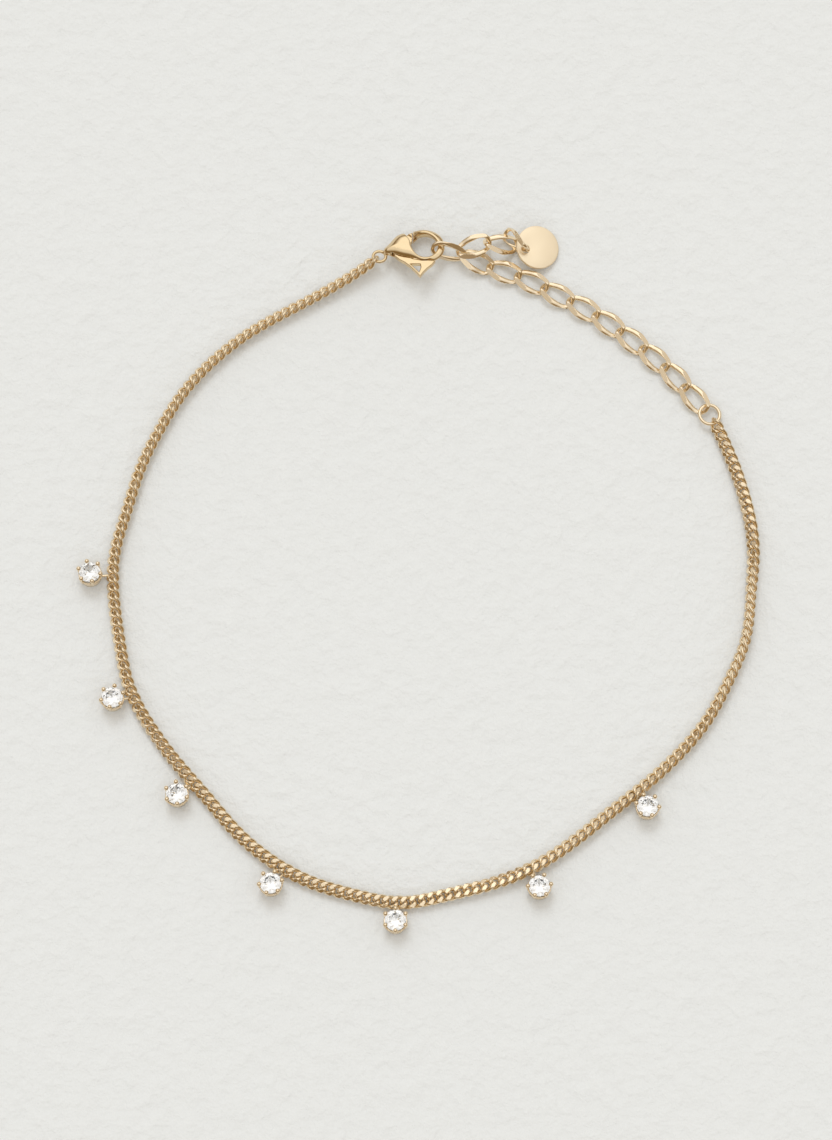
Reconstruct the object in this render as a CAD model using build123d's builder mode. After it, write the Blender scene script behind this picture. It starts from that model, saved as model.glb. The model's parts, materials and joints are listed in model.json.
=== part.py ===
"""Charm anklet: a fine curb chain with seven stones in claw settings, an extender and a lobster clasp.

Millimetres. The anklet lies flat on a surface at z = 0, as a closed loop. X runs across the loop,
Y runs from the stones at the near side to the clasp at the far side, and Z is up.
"""
import math
import os

from build123d import *

os.makedirs("parts", exist_ok=True)

# ---- driving dimensions -----------------------------------------------------------------------

# A small link is a skew rectangle of wire with rounded corners: its ends are bent out of the flat.
CHAIN_WIRE = 0.37  # wire of a small link
CHAIN_REACH = 0.775  # link centre to the middle of its end wire
CHAIN_HALF = 0.54  # link centre to the middle of its side wire
CHAIN_RISE = 0.70  # each corner stands this far out of the flat
CHAIN_BEND = 0.45  # corner radius
CHAIN_PITCH = 1.05  # nominal spacing of the small links

BIG_WIRE = 0.45  # the same for the extender's links, whose corners are cut off to make an oval
BIG_REACH = 2.02
BIG_HALF = 1.00
BIG_RISE = 0.45
BIG_BEND = 0.80
CORNER_SHARE = 0.42  # share of the reach and of the half width where the cut of a corner starts
FLAT_RISE = 0.15  # the link that the clasp holds is pulled nearly flat

RING_RADIUS = 1.22  # end ring, to the middle of its wire
RING_WIRE = 0.42

TAG_RADIUS = 2.65
TAG_THICK = 0.40
TAG_HOLE = 0.50  # radius
TAG_HOLE_AT = -1.60  # along the tag's own x
TAG_EDGE = 0.08  # rounding of its edges

STONE_RADIUS = 1.22
GIRDLE_LOW = 1.52
GIRDLE_HIGH = 1.60
TABLE_HIGH = 1.98
CULET_LOW = 0.55
TABLE_RADIUS = 0.77
SEAT_GAP = 0.05  # clearance between a stone and its setting

CUP_FOOT = 1.20  # outer radius of the cup at its foot
CUP_LIP = 1.32  # outer radius of the cup at its lip
CUP_HIGH = 1.05
CUP_WALL = 0.25
CLAWS = 6
CLAW_WIRE = 0.40
CLAW_FOOT = (1.14, 0.45)  # radius and height of a claw's middle line
CLAW_TIP = (1.31, 1.88)
CLAW_BEAD = 0.25  # radius
NECK_WIRE = 0.30  # soldered neck between a cup and the link that holds it
NECK_AIM = 0.45  # the neck points at the cup's axis this far above the surface
FOOT_GAP = 0.02  # a leaning cup's lowest edge above the surface

CLASP_THICK = 1.10  # half of the body's thickness
HOOK_THICK = 0.42  # half of the hook's thickness at the nose
SLOT_HALF = 0.36  # half of the slot for the lever
LEVER_HALF = 0.30  # half of the lever's thickness
PIN_AT = (-3.20, -0.55)
PIN_RADIUS = 0.24
PIN_HALF = 0.94  # half of the pin's length
BODY_EDGE = 0.30  # rounding of the body's edges
LEVER_BORE = 0.30

# ---- tables -----------------------------------------------------------------------------------

# Middle line of the small chain, from the end ring to the clasp.
#        x      y     z    roll
CHAIN_ROUTE = [
    (33.68, 17.99, 0.78, 40),
    (35.60, 13.40, 0.74, 30),
    (37.10, 8.30, 0.68, 20),
    (37.80, 3.00, 0.76, 42),
    (37.40, -2.30, 0.79, 70),
    (36.70, -7.60, 0.79, 66),
    (34.70, -12.50, 0.78, 58),
    (32.10, -17.20, 0.77, 50),
    (28.70, -21.30, 0.76, 44),
    (24.80, -24.90, 0.75, 42),
    (20.60, -28.20, 0.75, 40),
    (16.40, -31.50, 0.75, 40),
    (11.90, -34.40, 0.73, 36),
    (7.00, -36.40, 0.69, 24),
    (1.80, -37.70, 0.60, 6),
    (-3.50, -38.60, 0.61, -12),
    (-8.70, -37.80, 0.67, -22),
    (-13.80, -36.30, 0.67, -23),
    (-18.50, -33.80, 0.67, -22),
    (-22.60, -30.40, 0.67, -22),
    (-26.10, -26.40, 0.70, -28),
    (-29.60, -22.40, 0.72, -34),
    (-32.80, -18.10, 0.74, -38),
    (-35.30, -13.40, 0.74, -40),
    (-36.50, -8.20, 0.75, -42),
    (-37.30, -2.90, 0.75, -42),
    (-37.30, 2.40, 0.76, -44),
    (-36.00, 7.60, 0.76, -46),
    (-34.50, 12.70, 0.76, -46),
    (-32.30, 17.50, 0.76, -46),
    (-29.50, 22.10, 0.76, -46),
    (-25.90, 26.10, 0.76, -46),
    (-21.80, 29.40, 0.76, -46),
    (-17.20, 32.10, 0.76, -46),
    (-12.50, 34.70, 0.85, -46),
    (-7.17, 38.06, 1.44, -45),
]

# Settings: the foot's middle, the turn of the claws, and the lean about x and y in degrees.
#     x       y      turn  lean_x lean_y
SETTINGS = [
    (-40.08, -0.36, 46, -12, 0),
    (-37.18, -15.14, 20, -10, 2),
    (-29.44, -26.40, 35, -10, 0),
    (-18.50, -36.72, 10, -10, 0),
    (-4.18, -41.00, 30, -11, 0),
    (12.31, -37.08, 5, -11, 0),
    (24.85, -27.86, 50, -11, 0),
]

# Extender links that lie out of line: place, then roll, pitch and yaw.
#          number   x      y     z     roll  pitch   yaw
LOOSE_LINKS = [
    (2, 5.35, 38.30, 0.82, -2.0, 6.5, -25.4),
    (3, 8.64, 37.04, 0.77, -0.1, 0.0, -18.4),
    (11, 31.20, 21.35, 0.71, 0.3, -1.3, -49.2),
    (12, 4.98, 39.82, 1.80, 5.4, -3.2, 22.8),
    (13, 8.27, 40.34, 1.14, -13.5, 19.3, 8.4),
]
FLAT_LINK = (2.05, 39.31, 1.40, 56.8, -4.4, -14.4)
TAG_LINK = (10.05, 40.61, 1.61, 54.0, -51.8, 4.0)
TAG_SPOT = (12.65, 39.99, 0.95, 1.5, 16.7, 13.1)

# Extender links that lie flat in a row, down to the last one before the end ring.
#          number   x      y
ROW_LINKS = [
    (4, 11.93, 35.77),
    (5, 15.00, 34.15),
    (6, 18.10, 32.50),
    (7, 21.05, 30.60),
    (8, 23.85, 28.50),
    (9, 26.50, 26.30),
    (10, 28.95, 23.95),
]
ROW_HEIGHT = 0.70
RING_SPOT = (32.96, 19.32, 0.72, -7.0, 7.8, 1.4)

# Clasp, seen from above in its own plane: circles whose hull is the body.
#          u      v     radius
BODY_ROUNDS = [
    (0.20, 0.02, 2.28),
    (-2.60, -0.35, 1.55),
    (-4.20, -0.62, 0.45),
]
# Half thickness of the body along its length.
#          u      half
BODY_SIDE = [
    (-4.90, 0.50),
    (-3.40, 0.96),
    (-2.00, CLASP_THICK),
    (-0.60, 0.90),
    (0.80, 0.52),
    (2.60, HOOK_THICK),
]
HOLE_AT = (0.18, 0.04)
HOLE_HALF = (1.50, 1.64)
HOLE_FLARE = 0.28  # the hole widens by this much
FLARE_FROM = 0.16  # between these two heights
FLARE_TO = 0.58
MOUTH = [(-2.42, 1.32), (-1.63, 0.27), (-1.10, -0.90), (-0.90, 0.00), (-1.27, 0.90), (-1.27, 2.60), (-3.20, 2.60)]
SLOT = [(-3.95, -3.00), (1.40, -3.00), (1.40, -2.00), (-1.10, -1.72), (-1.60, -0.90), (-3.95, -0.90)]
SWING_REACH = 3.00
SWING_ARC = (-60, 172)  # start and size in degrees of the room that the gate sweeps
HUB_RADIUS = 0.60
GATE = [(-2.62, 1.22), (-1.33, 1.68), (-1.33, 0.75), (-1.62, 0.25), (-2.55, -0.75), (-3.35, 0.03)]
SPUR = [
    (-3.55, -0.95),
    (-2.90, -1.90),
    (-1.70, -3.05),
    (-0.35, -4.30),
    (0.13, -3.55),
    (0.94, -2.75),
    (1.25, -2.15),
    (-1.20, -1.85),
    (-2.50, -1.00),
]
SPUR_WINDOW = [(-1.65, -2.40), (-0.50, -2.45), (-0.60, -3.55)]
EYE_AT = (-5.30, -1.05, -0.45)
CLASP_EYE = (0.77, 0.19)  # radius to the middle of the wire, and the wire's radius
CLASP_SPOT = Location((-1.00, 39.85, 1.50), (-18, 0, 0))


# ---- shapes used more than once -----------------------------------------------------------------


def wire_link(corners, bend, wire):
    """One closed link along x, from the corners of half its middle line, which is then turned round z."""
    with BuildPart() as link:
        with BuildLine() as half_loop:
            FilletPolyline(*corners, radius=bend)
        path = half_loop.wire()
        with BuildSketch(Plane(origin=path @ 0, z_dir=path % 0)):
            Circle(wire / 2)
        sweep(path=path)
        add(link.part.rotate(Axis.Z, 180))
    return link.part


def oval_link(rise):
    """One extender link, its two ends turned out of the flat in opposite senses."""
    inner_x, inner_y = CORNER_SHARE * BIG_REACH, CORNER_SHARE * BIG_HALF
    corners = [
        (0, -BIG_HALF, 0),
        (inner_x, -BIG_HALF, -rise),
        (BIG_REACH, -inner_y, -rise),
        (BIG_REACH, inner_y, rise),
        (inner_x, BIG_HALF, rise),
        (0, BIG_HALF, 0),
    ]
    return wire_link(corners, BIG_BEND, BIG_WIRE)


def posed(x, y, z, roll, pitch, yaw):
    """A place and a turn, from one row of a table."""
    return Location((x, y, z), (roll, pitch, yaw))


def facet_column(start, end, far, turn, wide, narrow):
    """Eight facets that lean in from start to end, on a straight column that runs back to far."""
    with BuildPart() as column:
        for height, radius in ((start, wide), (end, narrow)):
            with BuildSketch(Plane.XY.offset(height)):
                RegularPolygon(radius, 8, rotation=turn)
        loft(ruled=True)
        with BuildSketch(Plane.XY.offset(min(start, far))):
            RegularPolygon(wide, 8, rotation=turn)
        extrude(amount=abs(far - start))
    return column.part


def brilliant_stone():
    """A round cut stone: table, sixteen crown facets, girdle and sixteen pavilion facets."""
    columns = [
        facet_column(GIRDLE_HIGH, TABLE_HIGH, CULET_LOW, 0.0, STONE_RADIUS * 1.09, 0.76),
        facet_column(GIRDLE_HIGH, TABLE_HIGH, CULET_LOW, 22.5, STONE_RADIUS * 1.05, 0.84),
        facet_column(GIRDLE_LOW, CULET_LOW, TABLE_HIGH, 0.0, STONE_RADIUS * 1.09, 0.04),
        facet_column(GIRDLE_LOW, CULET_LOW, TABLE_HIGH, 22.5, STONE_RADIUS * 1.12, 0.12),
    ]
    with BuildPart() as stone:
        with BuildSketch(Plane.XY.offset(CULET_LOW)):
            RegularPolygon(STONE_RADIUS, 16)
        extrude(amount=TABLE_HIGH - CULET_LOW)
        for column in columns:
            add(column, mode=Mode.INTERSECT)
    return stone.part


def claw_basket():
    """A round cup with six claws, cut to seat a stone. Its foot stands on z = 0."""
    cup = [(CUP_FOOT - CUP_WALL, 0), (CUP_FOOT, 0), (CUP_LIP, CUP_HIGH), (CUP_LIP - CUP_WALL, CUP_HIGH)]
    seat = [
        (0, CULET_LOW - SEAT_GAP),
        (STONE_RADIUS + SEAT_GAP, GIRDLE_LOW - SEAT_GAP),
        (STONE_RADIUS + SEAT_GAP, GIRDLE_HIGH + SEAT_GAP / 2),
        (TABLE_RADIUS + SEAT_GAP, TABLE_HIGH + SEAT_GAP),
        (0, TABLE_HIGH + SEAT_GAP),
    ]
    with BuildPart() as basket:
        with BuildSketch(Plane.XZ):
            with BuildLine():
                Polyline(*cup, close=True)
            make_face()
        revolve(axis=Axis.Z)
        for number in range(CLAWS):
            angle = 360 / CLAWS * number
            low = Vector(CLAW_FOOT[0], 0, CLAW_FOOT[1]).rotate(Axis.Z, angle)
            high = Vector(CLAW_TIP[0], 0, CLAW_TIP[1]).rotate(Axis.Z, angle)
            with BuildSketch(Plane(origin=low, z_dir=high - low)):
                Circle(CLAW_WIRE / 2)
            extrude(amount=(high - low).length)
            with Locations(high):
                Sphere(CLAW_BEAD)
        with BuildSketch(Plane.XZ):
            with BuildLine():
                Polyline(*seat, close=True)
            make_face()
        revolve(axis=Axis.Z, mode=Mode.SUBTRACT)
    return basket.part


# ---- small chain ------------------------------------------------------------------------------

with BuildLine() as chain_line:
    Spline(*[(x, y, z) for x, y, z, _ in CHAIN_ROUTE])
chain_path = chain_line.edge()
CHAIN_LINKS = round(chain_path.length / CHAIN_PITCH) + 1


def chain_spot(number):
    """Where one small link lies: its place, its direction along the route and its roll."""
    share = number / (CHAIN_LINKS - 1)
    station = share * (len(CHAIN_ROUTE) - 1)
    row = min(int(station), len(CHAIN_ROUTE) - 2)
    before, after = CHAIN_ROUTE[row][3], CHAIN_ROUTE[row + 1][3]
    roll = before + (after - before) * (station - row)
    ahead = chain_path % share
    upright = Vector(0, 0, 1) - ahead * ahead.Z
    level = Plane(origin=chain_path @ share, x_dir=ahead, z_dir=upright)
    return level.location * Location((0, 0, 0), (roll, 0, 0))


chain_spots = [chain_spot(number) for number in range(CHAIN_LINKS)]
link_corners = [
    (0, -CHAIN_HALF, 0),
    (CHAIN_REACH, -CHAIN_HALF, CHAIN_RISE),
    (CHAIN_REACH, CHAIN_HALF, -CHAIN_RISE),
    (0, CHAIN_HALF, 0),
]
small_link = wire_link(link_corners, CHAIN_BEND, CHAIN_WIRE)

# Each setting is soldered to one link, which is left out of the chain's own node.
held_links = [
    min(chain_spots, key=lambda place: math.hypot(place.position.X - x, place.position.Y - y))
    for x, y, *_ in SETTINGS
]

with BuildPart() as curb_chain:
    with Locations(*[place for place in chain_spots if place not in held_links]):
        add(small_link)
curb_chain.part.label = "curb_chain"
export_step(curb_chain.part, "parts/curb_chain.step")

# ---- stones and settings ----------------------------------------------------------------------

gem = brilliant_stone()
basket = claw_basket()

for number, ((x, y, turn, lean_x, lean_y), held_link) in enumerate(zip(SETTINGS, held_links), start=1):
    foot_height = FOOT_GAP + CUP_FOOT * math.sin(math.radians(math.hypot(lean_x, lean_y)))
    spot = posed(x, y, foot_height, lean_x, lean_y, turn)
    side_wire = (held_link * Location((0, CHAIN_HALF, 0))).position
    reach = Vector(x, y, NECK_AIM) - side_wire
    with BuildPart() as setting:
        with Locations(held_link):
            add(small_link)
        with Locations(spot):
            add(basket)
        with BuildSketch(Plane(origin=side_wire, z_dir=reach)):
            Circle(NECK_WIRE / 2)
        extrude(amount=reach.length - CUP_FOOT + CUP_WALL / 2)
    setting.part.label = f"setting_{number}"
    export_step(setting.part, f"parts/setting_{number}.step")

    with BuildPart() as stone:
        with Locations(spot):
            add(gem)
    stone.part.label = f"stone_{number}"
    export_step(stone.part, f"parts/stone_{number}.step")

# ---- extender, end ring and tag ---------------------------------------------------------------

big_link = oval_link(BIG_RISE)
flat_link = oval_link(FLAT_RISE)

link_places = {number: (x, y) for number, x, y, *_ in LOOSE_LINKS + ROW_LINKS}

extender_spots = {1: (flat_link, posed(*FLAT_LINK))}
for number, *place in LOOSE_LINKS:
    extender_spots[number] = (big_link, posed(*place))
for number, x, y in ROW_LINKS:
    (back_x, back_y), (next_x, next_y) = link_places[number - 1], link_places[number + 1]
    yaw = math.degrees(math.atan2(next_y - back_y, next_x - back_x))
    extender_spots[number] = (big_link, posed(x, y, ROW_HEIGHT, 0, 0, yaw))

for number, (shape, spot) in sorted(extender_spots.items()):
    with BuildPart() as extender_link:
        with Locations(spot):
            add(shape)
    extender_link.part.label = f"extender_link_{number:02d}"
    export_step(extender_link.part, f"parts/extender_link_{number:02d}.step")

with BuildPart() as end_ring:
    with Locations(posed(*RING_SPOT)):
        Torus(RING_RADIUS, RING_WIRE / 2)
end_ring.part.label = "end_ring"
export_step(end_ring.part, "parts/end_ring.step")

with BuildPart() as tag_link:
    with Locations(posed(*TAG_LINK)):
        add(big_link)
tag_link.part.label = "tag_link"
export_step(tag_link.part, "parts/tag_link.step")

with BuildPart() as disc_tag:
    with BuildSketch(Plane(posed(*TAG_SPOT))):
        Circle(TAG_RADIUS)
        with Locations((TAG_HOLE_AT, 0)):
            Circle(TAG_HOLE, mode=Mode.SUBTRACT)
    extrude(amount=TAG_THICK / 2, both=True)
    fillet(disc_tag.edges().filter_by(GeomType.CIRCLE), radius=TAG_EDGE)
disc_tag.part.label = "disc_tag"
export_step(disc_tag.part, "parts/disc_tag.step")

# ---- lobster clasp ----------------------------------------------------------------------------

side_top = [(u, half) for u, half in BODY_SIDE]
side_low = [(u, -half) for u, half in reversed(BODY_SIDE)]

with BuildPart() as body:
    with BuildSketch():
        for u, v, radius in BODY_ROUNDS:
            with Locations((u, v)):
                Circle(radius)
        make_hull()
    extrude(amount=CLASP_THICK, both=True)
    with BuildSketch(Plane.XZ):
        with BuildLine():
            Spline(*side_top)
            Line(side_top[-1], side_low[0])
            Spline(*side_low)
            Line(side_low[-1], side_top[0])
        make_face()
    extrude(amount=BODY_ROUNDS[0][2] * 2, both=True, mode=Mode.INTERSECT)
    fillet(body.edges(), radius=BODY_EDGE)
    with BuildSketch():
        with Locations(HOLE_AT):
            Ellipse(*HOLE_HALF)
        with BuildLine():
            Polyline(*MOUTH, close=True)
        make_face()
    extrude(amount=CLASP_THICK, both=True, mode=Mode.SUBTRACT)
    for side in (-1, 1):
        with BuildSketch(Plane.XY.offset(side * FLARE_FROM)), Locations(HOLE_AT):
            Ellipse(*HOLE_HALF)
        with BuildSketch(Plane.XY.offset(side * FLARE_TO)), Locations(HOLE_AT):
            Ellipse(HOLE_HALF[0] + HOLE_FLARE, HOLE_HALF[1] + HOLE_FLARE)
        loft(mode=Mode.SUBTRACT)
    with BuildSketch():
        with BuildLine():
            Polyline(*SLOT, close=True)
        make_face()
        with BuildLine():
            swing = CenterArc(PIN_AT, SWING_REACH, *SWING_ARC)
            Polyline(swing @ 1, PIN_AT, swing @ 0)
        make_face()
        with Locations(PIN_AT):
            Circle(HUB_RADIUS + SLOT_HALF - LEVER_HALF)
    extrude(amount=SLOT_HALF, both=True, mode=Mode.SUBTRACT)
    with BuildSketch():
        with Locations(PIN_AT):
            Circle(PIN_RADIUS)
    extrude(amount=PIN_HALF, both=True)
    with Locations(EYE_AT):
        Torus(*CLASP_EYE)

with BuildPart() as lever:
    with BuildSketch():
        with Locations(PIN_AT):
            Circle(HUB_RADIUS)
        for corners in (GATE, SPUR):
            with BuildLine():
                Polyline(*corners, close=True)
            make_face()
        with BuildLine():
            Polyline(*SPUR_WINDOW, close=True)
        make_face(mode=Mode.SUBTRACT)
        with Locations(PIN_AT):
            Circle(LEVER_BORE, mode=Mode.SUBTRACT)
    extrude(amount=LEVER_HALF, both=True)

with BuildPart() as clasp_body:
    with Locations(CLASP_SPOT):
        add(body.part)
clasp_body.part.label = "clasp_body"
export_step(clasp_body.part, "parts/clasp_body.step")

with BuildPart() as clasp_lever:
    with Locations(CLASP_SPOT):
        add(lever.part)
clasp_lever.part.label = "clasp_lever"
export_step(clasp_lever.part, "parts/clasp_lever.step")
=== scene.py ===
"""Dresses the charm anklet: polished links, claw settings, cut stones, clasp and tag on pale paper.

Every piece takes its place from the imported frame. Metres throughout; MM turns millimetres into metres.
"""
import json
import logging
import math
from dataclasses import dataclass, field, replace
from enum import Enum
from typing import Callable

import bpy
import numpy as np
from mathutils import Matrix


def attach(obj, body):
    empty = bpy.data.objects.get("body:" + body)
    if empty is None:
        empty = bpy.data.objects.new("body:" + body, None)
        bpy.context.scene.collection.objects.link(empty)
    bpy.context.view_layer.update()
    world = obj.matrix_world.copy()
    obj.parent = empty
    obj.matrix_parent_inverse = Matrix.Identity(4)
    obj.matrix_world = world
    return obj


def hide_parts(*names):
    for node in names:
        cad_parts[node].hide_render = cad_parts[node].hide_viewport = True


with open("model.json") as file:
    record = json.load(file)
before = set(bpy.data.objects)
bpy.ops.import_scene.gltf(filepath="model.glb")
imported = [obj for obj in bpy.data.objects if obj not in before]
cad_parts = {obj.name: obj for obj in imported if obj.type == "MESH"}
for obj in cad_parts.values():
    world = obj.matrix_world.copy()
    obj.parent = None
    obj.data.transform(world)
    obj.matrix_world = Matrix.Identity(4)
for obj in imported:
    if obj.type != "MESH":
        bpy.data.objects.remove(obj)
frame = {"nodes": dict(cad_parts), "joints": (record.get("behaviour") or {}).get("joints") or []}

MM = 0.001
HAIR = 1e-9  # a length that counts as none
LOG = logging.getLogger("anklet")

Color = tuple[float, float, float]
FlatPoints = tuple[tuple[float, float], ...]


class Body(Enum):
    """The bodies of the frame that pieces ride on."""

    ANKLET = "anklet"
    LEVER = "lever"


class Slot(Enum):
    """The record's material slots."""

    CHAIN = "chain_metal"
    EXTENDER = "extender_metal"
    SETTING = "setting_metal"
    CLASP = "clasp_metal"
    TAG = "tag_metal"
    STONE = "clear_stone"


# ---- surfaces ---------------------------------------------------------------------------------


@dataclass
class Surface:
    """One or more closed surfaces.

    Args:
        points: An (n, 3) array of corner points.
        faces: Arrays of corner numbers, one array for each number of sides.
        crisp: For each array of faces, which of its faces are shaded flat.
    """

    points: np.ndarray
    faces: list[np.ndarray]
    crisp: list[np.ndarray] = field(default_factory=list)

    def __post_init__(self) -> None:
        """Shades every face smooth where nothing else is said."""
        if not self.crisp:
            self.crisp = [np.zeros(len(block), bool) for block in self.faces]

    def volume(self) -> float:
        """The signed volume: the sum over a fan of triangles in each face of a . (b x c) / 6.

        Returns:
            The volume, less than zero where the faces point inwards.
        """
        total = 0.0
        for block in self.faces:
            corner = self.points[block]
            for step in range(1, block.shape[1] - 1):
                turn = np.cross(corner[:, step], corner[:, step + 1])
                total += float(np.einsum("ij,ij->", corner[:, 0], turn)) / 6
        return total

    def outward(self) -> "Surface":
        """Turns the faces over where the sign of the volume says that they point inwards.

        Returns:
            The same surface with its faces pointing out.
        """
        if self.volume() < 0:
            return Surface(self.points, [block[:, ::-1] for block in self.faces], self.crisp)
        return self

    def moved(self, pose: "Pose") -> "Surface":
        """The same surface carried to a pose."""
        return Surface(pose.carry(self.points), self.faces, self.crisp)


def joined(parts: list[Surface]) -> Surface:
    """Several surfaces as one.

    Args:
        parts: The surfaces, each with its own corner numbers.

    Returns:
        One surface whose corner numbers follow on from part to part.
    """
    points = np.concatenate([part.points for part in parts])
    starts = np.cumsum([0] + [len(part.points) for part in parts])
    faces: list[np.ndarray] = []
    crisp: list[np.ndarray] = []
    for sides in sorted({block.shape[1] for part in parts for block in part.faces}):
        rows = [(block + start, flags) for part, start in zip(parts, starts)
                for block, flags in zip(part.faces, part.crisp) if block.shape[1] == sides]
        faces.append(np.concatenate([block for block, _ in rows]))
        crisp.append(np.concatenate([flags for _, flags in rows]))
    return Surface(points, faces, crisp)


def grid_faces(rows: int, columns: int, wrap_rows: bool, wrap_columns: bool) -> np.ndarray:
    """Four-sided faces of a grid of points.

    Args:
        rows: How many rows of points there are.
        columns: How many points a row holds.
        wrap_rows: Whether the last row joins the first.
        wrap_columns: Whether the last point of a row joins its first.

    Returns:
        An (n, 4) array of corner numbers.
    """
    row = np.arange(rows if wrap_rows else rows - 1)[:, None]
    column = np.arange(columns if wrap_columns else columns - 1)[None, :]
    below, beside = (row + 1) % rows, (column + 1) % columns
    corners = [line * columns + place
               for line, place in ((row, column), (row, beside), (below, beside), (below, column))]
    return np.stack(corners, axis=-1).reshape(-1, 4)


def unit(vectors: np.ndarray) -> np.ndarray:
    """Vectors brought to length one along their last axis."""
    return vectors / np.linalg.norm(vectors, axis=-1, keepdims=True)


def lathe(profile: np.ndarray, turns: int) -> Surface:
    """A closed profile of (radius, height) points turned about z.

    Point (i, j) is profile point j at the angle 2 pi i / turns.

    Args:
        profile: An (n, 2) array, not through the axis.
        turns: How many steps the full turn has.

    Returns:
        A closed ring surface.
    """
    angle = (np.arange(turns) / turns * math.tau)[:, None]
    radius, height = profile.T
    grid = np.broadcast_arrays(radius * np.cos(angle), radius * np.sin(angle), height)
    points = np.stack(grid, axis=-1)
    return Surface(points.reshape(-1, 3), [grid_faces(turns, len(profile), True, True)]).outward()


def torus(radius: float, wire: float, turns: int, sides: int) -> Surface:
    """A ring of round wire about z: a circle of radius wire / 2 turned at the given radius.

    Args:
        radius: From the axis to the middle of the wire.
        wire: The wire's diameter.
        turns: How many steps the full turn has.
        sides: How many sides the wire has.

    Returns:
        A closed ring surface.
    """
    angle = np.arange(sides) / sides * math.tau
    return lathe(np.stack([radius + wire / 2 * np.cos(angle), wire / 2 * np.sin(angle)], axis=-1), turns)


def rod(centres: np.ndarray, radii: np.ndarray, sides: int) -> Surface:
    """A round rod of changing thickness along a line, closed by a point at each end.

    Point (i, j) is centre i plus radius i times (side cos a_j + up sin a_j), where side and up are at
    right angles to the line. Side is also at right angles to y, or to x where the line nearly follows y.

    Args:
        centres: An (n, 3) array of points along the middle.
        radii: The rod's radius at each of them.
        sides: How many sides the rod has.

    Returns:
        A closed surface.
    """
    near_y = 0.2
    ahead = unit(np.gradient(centres, axis=0))
    around = np.cross(ahead, [0.0, 1.0, 0.0])
    follows_y = np.linalg.norm(around, axis=1) < near_y
    around[follows_y] = np.cross(ahead[follows_y], [1.0, 0.0, 0.0])
    side = unit(around)
    up = np.cross(ahead, side)
    angle = np.arange(sides) / sides * math.tau
    ring = side[:, None] * np.cos(angle)[None, :, None] + up[:, None] * np.sin(angle)[None, :, None]
    points = (centres[:, None] + ring * radii[:, None, None]).reshape(-1, 3)
    count = len(points)
    step = np.arange(sides)
    first = np.stack([np.full(sides, count), (step + 1) % sides, step], axis=-1)
    last_row = count - sides
    last = np.stack([np.full(sides, count + 1), last_row + step, last_row + (step + 1) % sides], axis=-1)
    points = np.concatenate([points, centres[:1], centres[-1:]])
    quads = grid_faces(len(centres), sides, False, True)
    return Surface(points, [quads, np.concatenate([first, last])]).outward()


def ball(centre: np.ndarray, radius: float, rings: int = 10, sides: int = 14) -> Surface:
    """A ball: a rod whose radius follows a half circle, r = R sin a at the height R cos a.

    Args:
        centre: The ball's middle.
        radius: Its radius R.
        rings: How many rings of points it has between its poles.
        sides: How many points a ring has.

    Returns:
        A closed surface.
    """
    pole = 0.12
    angle = np.linspace(pole, math.pi - pole, rings)
    centres = np.asarray(centre) + np.outer(radius * np.cos(angle), [0.0, 0.0, 1.0])
    return rod(centres, radius * np.sin(angle), sides)


# ---- shapes as signed distances -----------------------------------------------------------------


def soft_max(first: np.ndarray, second: np.ndarray, soft: float) -> np.ndarray:
    """The larger of two distances, rounded where they are nearly equal.

    It is max(a, b) + h^2 soft / 4, with h = max(soft - |a - b|, 0) / soft. Of two solids it gives what
    they share, with an edge of about that softness.

    Args:
        first: The distance from one solid at each point.
        second: The distance from the other.
        soft: The softness of the edge.

    Returns:
        The joint distance at each point.
    """
    share = np.maximum(soft - np.abs(first - second), 0) / soft
    return np.maximum(first, second) + share**2 * soft / 4


def soft_min(first: np.ndarray, second: np.ndarray, soft: float) -> np.ndarray:
    """The smaller of two distances, rounded where they are nearly equal: it blends two solids."""
    return -soft_max(-first, -second, soft)


def outline_distance(spots: np.ndarray, corners: np.ndarray) -> np.ndarray:
    """The distance of points of a plane from a closed outline, less than zero inside it.

    Args:
        spots: An (n, 2) array of points.
        corners: An (m, 2) array of the outline's corners.

    Returns:
        The distance of each point.
    """
    nearest = np.full(len(spots), np.inf)
    inside = np.zeros(len(spots), bool)
    for first, last in zip(corners, np.roll(corners, -1, axis=0)):
        edge = last - first
        offset = spots - first
        share = np.clip(offset @ edge / (edge @ edge), 0, 1)
        nearest = np.minimum(nearest, np.linalg.norm(offset - share[:, None] * edge, axis=1))
        if edge[1]:
            crosses = (first[1] > spots[:, 1]) != (last[1] > spots[:, 1])
            inside ^= crosses & (offset[:, 0] < offset[:, 1] / edge[1] * edge[0])
    return np.where(inside, -nearest, nearest)


def tapered_distance(spots: np.ndarray, start: np.ndarray, end: np.ndarray) -> np.ndarray:
    """The distance of points of a plane from the hull of two circles.

    With b the difference of the radii over the distance between the middles, the sides lean by b, so
    beside them the distance is sqrt(1 - b^2) across + b along - radius. Past them it is a circle's.

    Args:
        spots: An (n, 2) array of points.
        start: The first circle's middle and radius.
        end: The second circle's middle and radius.

    Returns:
        The distance of each point.
    """
    line = end[:2] - start[:2]
    length = float(np.linalg.norm(line))
    along = (spots - start[:2]) @ line / length
    across = np.abs((spots - start[:2]) @ [line[1], -line[0]]) / length
    lean = (start[2] - end[2]) / length
    straight = math.sqrt(1 - lean**2)
    station = straight * along - lean * across
    beside = straight * across + lean * along - start[2]
    before = np.hypot(along, across) - start[2]
    after = np.hypot(along - length, across) - end[2]
    return np.where(station < 0, before, np.where(station > straight * length, after, beside))


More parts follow.
